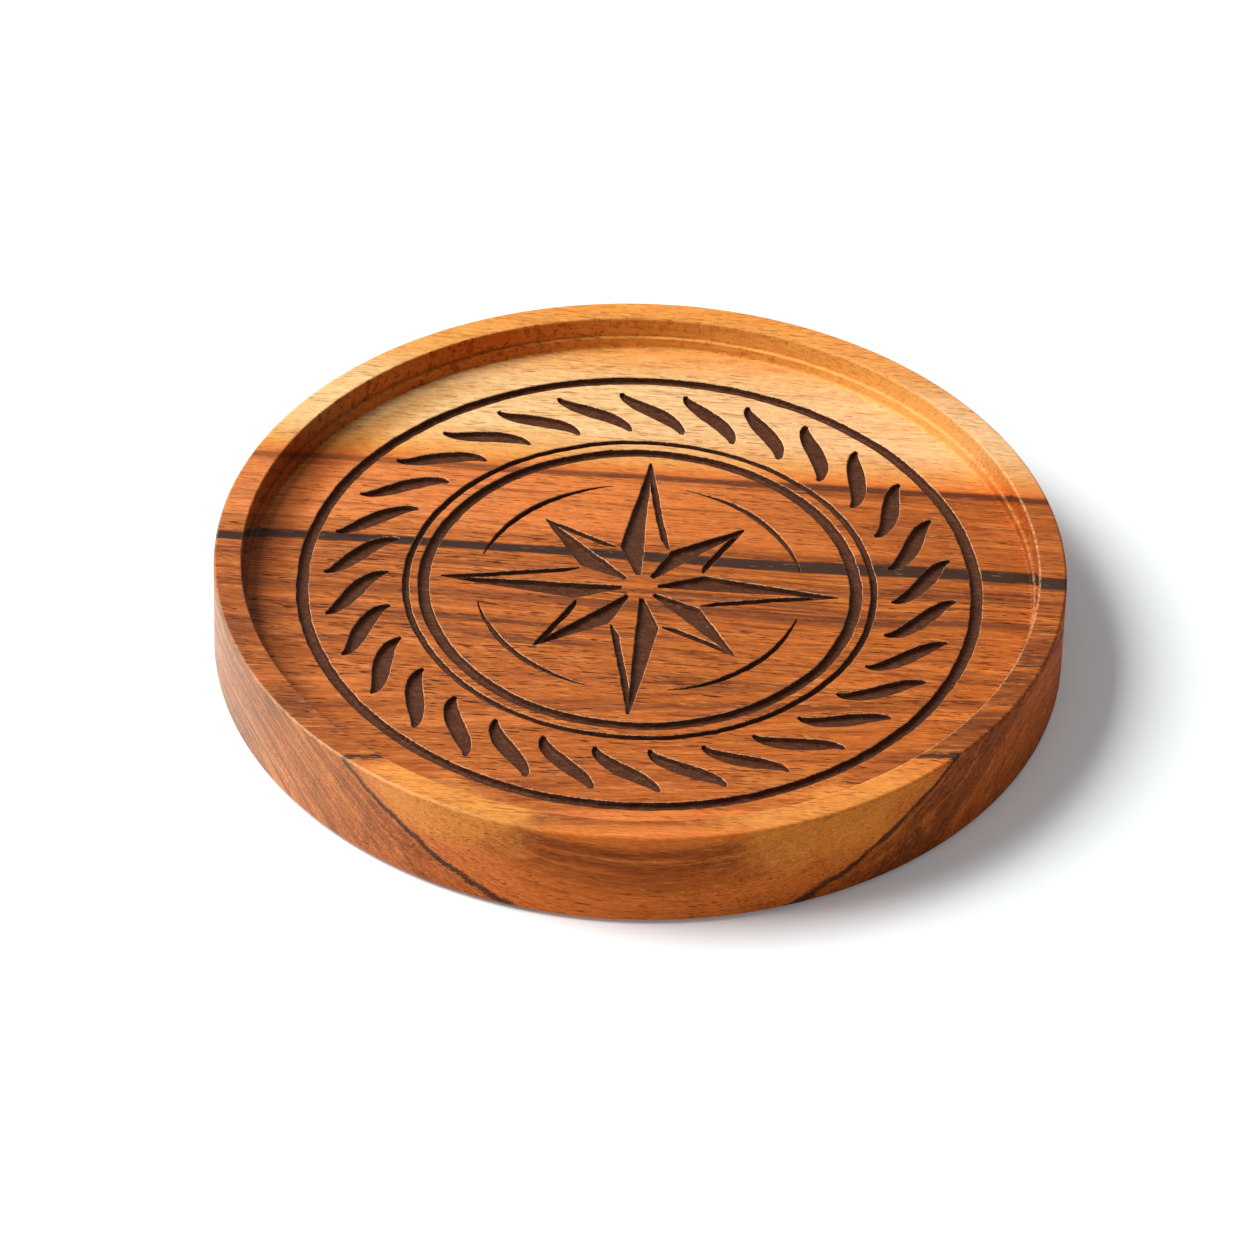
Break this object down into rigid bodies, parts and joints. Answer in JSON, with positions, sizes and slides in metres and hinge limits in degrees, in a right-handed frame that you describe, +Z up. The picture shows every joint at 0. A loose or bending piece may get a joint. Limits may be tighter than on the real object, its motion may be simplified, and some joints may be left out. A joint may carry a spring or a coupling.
{
  "type": "drink coaster",
  "caption": "Round wooden drink coaster with a shallow stepped recess for a glass or mug, a star and a rope border carved into its floor, and small non-slip pads let into its underside.",
  "frame": {"origin": "centre of the round outline, on the plane that the pads stand on", "axes": "+Z up out of the recess, +X along the wood grain, +Y away from the viewer of the picture"},
  "size_m": [0.1, 0.1, 0.0127],
  "materials": {
    "wood": "satin oiled hardwood",
    "pad_rubber": "matte"
  },
  "bodies": {
    "root": {"board": "wood", "foot_pad_front_right": "pad_rubber", "foot_pad_rear_right": "pad_rubber", "foot_pad_rear_left": "pad_rubber", "foot_pad_front_left": "pad_rubber"}
  },
  "joints": []
}
